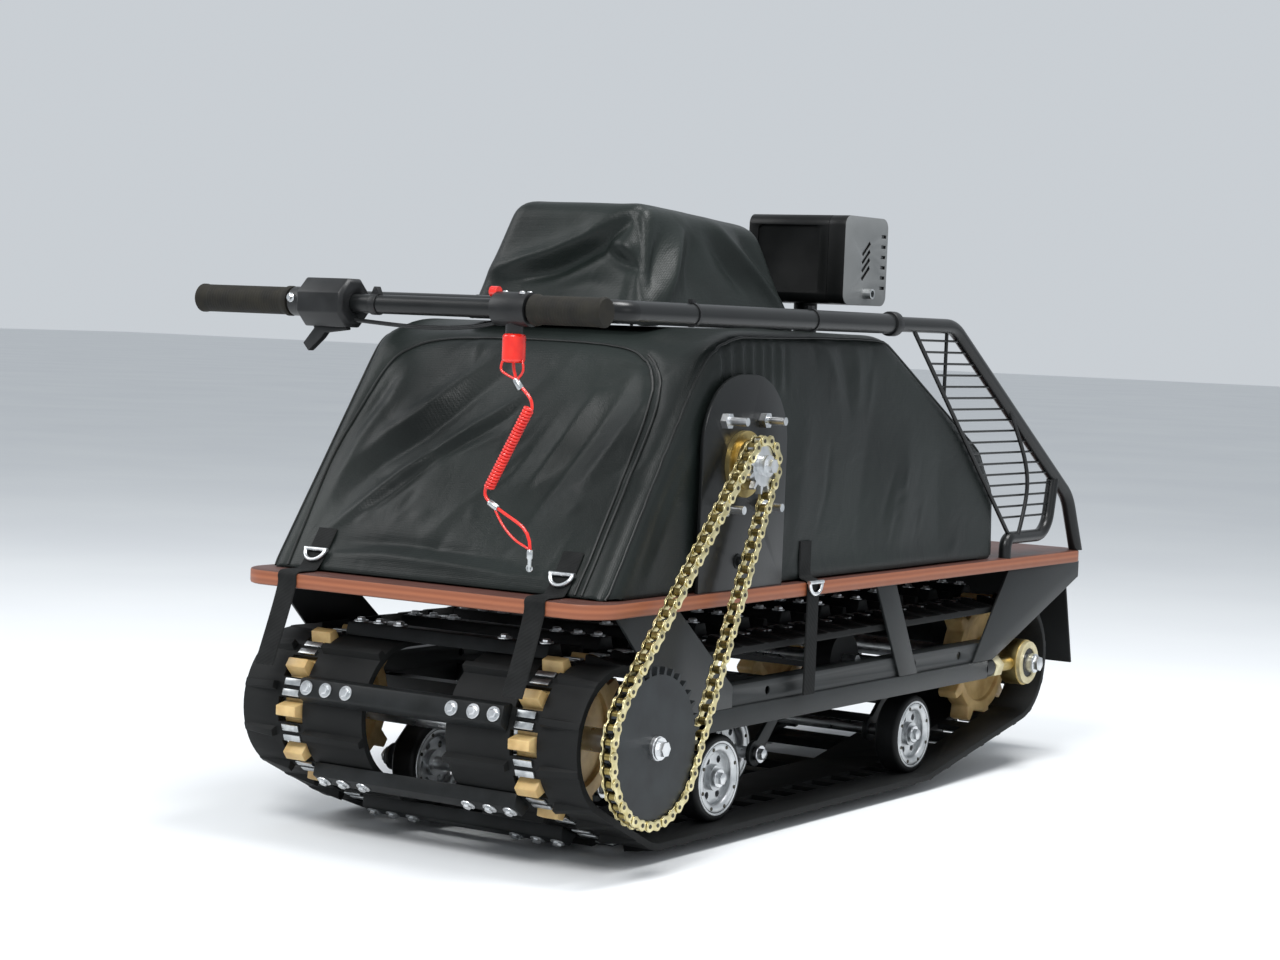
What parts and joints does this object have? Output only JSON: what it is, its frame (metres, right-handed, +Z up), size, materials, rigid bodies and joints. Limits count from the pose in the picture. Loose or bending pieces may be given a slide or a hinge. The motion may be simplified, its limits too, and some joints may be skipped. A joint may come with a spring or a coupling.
{
  "type": "tracked snow tug",
  "caption": "Walk-behind tracked tug: rubber track loop on a tube frame, plywood deck, hooded engine with chain drive, wire guards and a telescopic handle.",
  "frame": {"origin": "on the ground under the middle of the overall length and width", "axes": "+X forward (grille end), +Y left, +Z up"},
  "size_m": [1.411, 0.616, 0.7853],
  "materials": {
    "belt_rubber": "moulded black rubber",
    "bar_steel": "black powder coat",
    "nylon": "machined tan nylon",
    "bright_steel": "zinc plated",
    "yellow_zinc": "yellow zinc plate",
    "frame_paint": "matte dark grey powder coat",
    "tyre_rubber": "solid rubber",
    "hub_alloy": "turned",
    "plywood": "red-brown film faced plywood",
    "chain_gold": "gold plated links",
    "sprocket_steel": "blackened steel",
    "engine_iron": "plain block",
    "hood_fabric": "coated charcoal fabric",
    "muffler_black": "heat proof black",
    "shield_grey": "satin grey",
    "tube_black": "satin black",
    "flap_rubber": "sheet rubber",
    "webbing": "woven black webbing",
    "grip_rubber": "ribbed",
    "control_plastic": "moulded",
    "lanyard_red": "moulded",
    "clip_steel": "polished"
  },
  "bodies": {
    "chassis": {"bearing_flange": "yellow_zinc", "bow_left": "tube_black", "bow_right": "tube_black", "chain": "chain_gold", "chain_pinion": "bright_steel", "control_cable": "control_plastic", "cross_members": "frame_paint", "deck": "plywood", "drive_bearings": "frame_paint", "drive_plate": "tube_black", "drive_shaft": "bright_steel", "drive_sprockets": "nylon", "driven_sprocket": "sprocket_steel", "engine": "engine_iron", "exhaust_outlet": "clip_steel", "exhaust_pipe": "muffler_black", "flange_studs": "bright_steel", "front_flap": "flap_rubber", "grille_left": "tube_black", "grille_right": "tube_black", "hood": "hood_fabric", "idler_arms": "yellow_zinc", "idler_axle": "bright_steel", "idler_sprockets": "nylon", "jackshaft": "bright_steel", "lower_rail_left": "frame_paint", "lower_rail_right": "frame_paint", "muffler": "muffler_black", "muffler_shield": "shield_grey", "return_axle": "bright_steel", "return_rollers": "tyre_rubber", "road_axles": "bright_steel", "road_wheel_hubs": "hub_alloy", "road_wheel_tyres": "tyre_rubber", "shaft_bolts": "bright_steel", "side_plates_left": "frame_paint", "side_plates_right": "frame_paint", "strap_rings": "bright_steel", "straps": "webbing", "top_cover": "hood_fabric", "track": "belt_rubber", "track_bars": "bar_steel", "upper_rail_left": "frame_paint", "upper_rail_right": "frame_paint", "wheel_arms": "frame_paint"},
    "handle": {"grips": "grip_rubber", "handle_loop": "tube_black", "handle_stems": "tube_black", "handlebar": "tube_black", "lanyard_clip": "clip_steel", "lanyard_coil": "lanyard_red", "lanyard_lower": "lanyard_red", "lanyard_upper": "lanyard_red", "stop_cap": "lanyard_red", "stop_switch": "control_plastic", "switch_lead": "control_plastic", "throttle_housing": "control_plastic", "throttle_lever": "control_plastic"}
  },
  "joints": [
    {"name": "handle_slide", "type": "slide", "parent": "chassis", "child": "handle", "axis": [-1, 0, 0], "range_m": [0, 0.4]}
  ]
}
